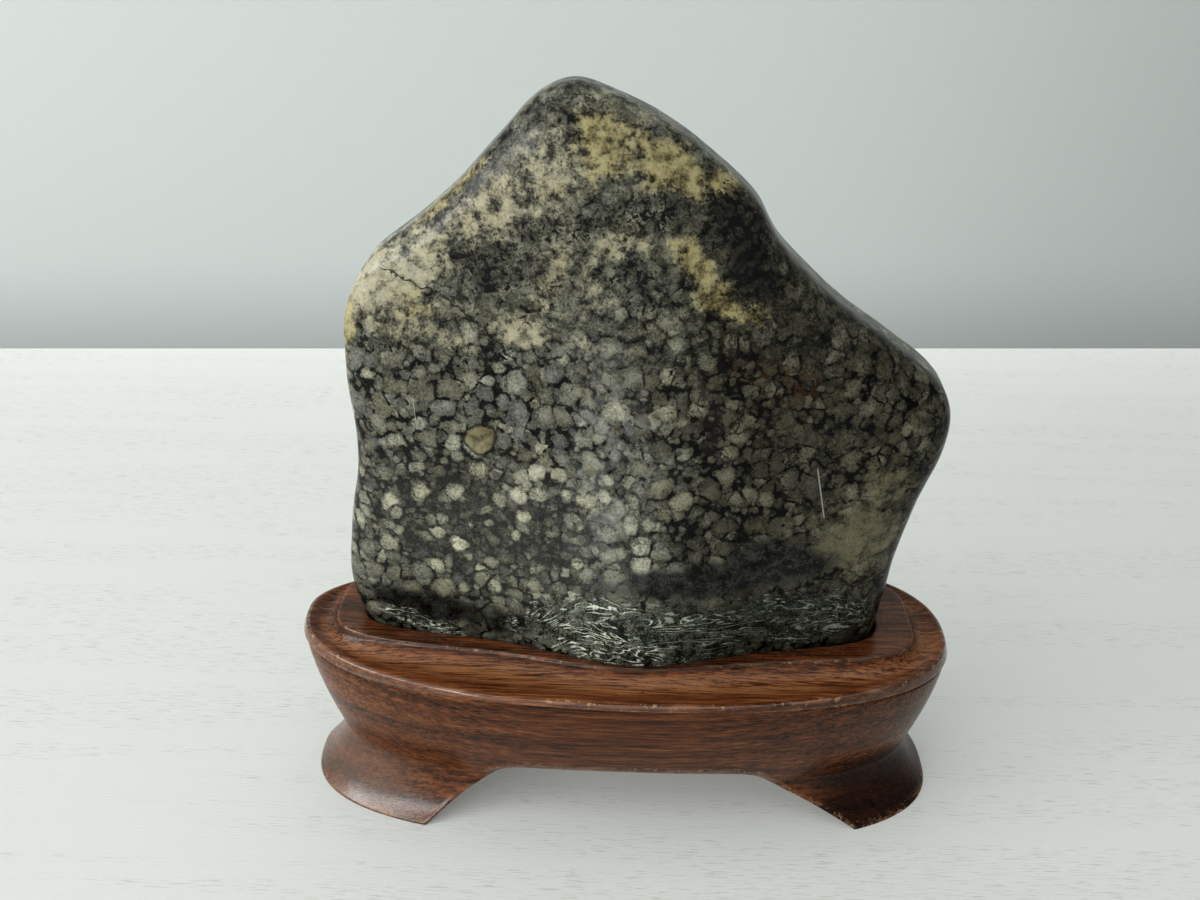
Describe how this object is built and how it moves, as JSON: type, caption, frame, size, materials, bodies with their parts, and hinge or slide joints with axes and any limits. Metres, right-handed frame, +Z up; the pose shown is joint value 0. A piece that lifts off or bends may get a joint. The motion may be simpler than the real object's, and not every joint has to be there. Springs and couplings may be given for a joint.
{
  "type": "scholars rock on carved stand",
  "caption": "Polished nodular viewing stone of mountain shape, seated in a low carved rosewood stand with splayed feet and an open arch beneath.",
  "frame": {"origin": "on the table plane, under the centre of the object's bounding box", "axes": "+Z up, +X along the stand to the viewer's right, front of the stone facing -Y"},
  "size_m": [0.1526, 0.0612, 0.1665],
  "materials": {
    "rosewood": "satin",
    "polished_stone": "gloss"
  },
  "bodies": {
    "root": {"stand": "rosewood", "stone": "polished_stone"}
  },
  "joints": []
}
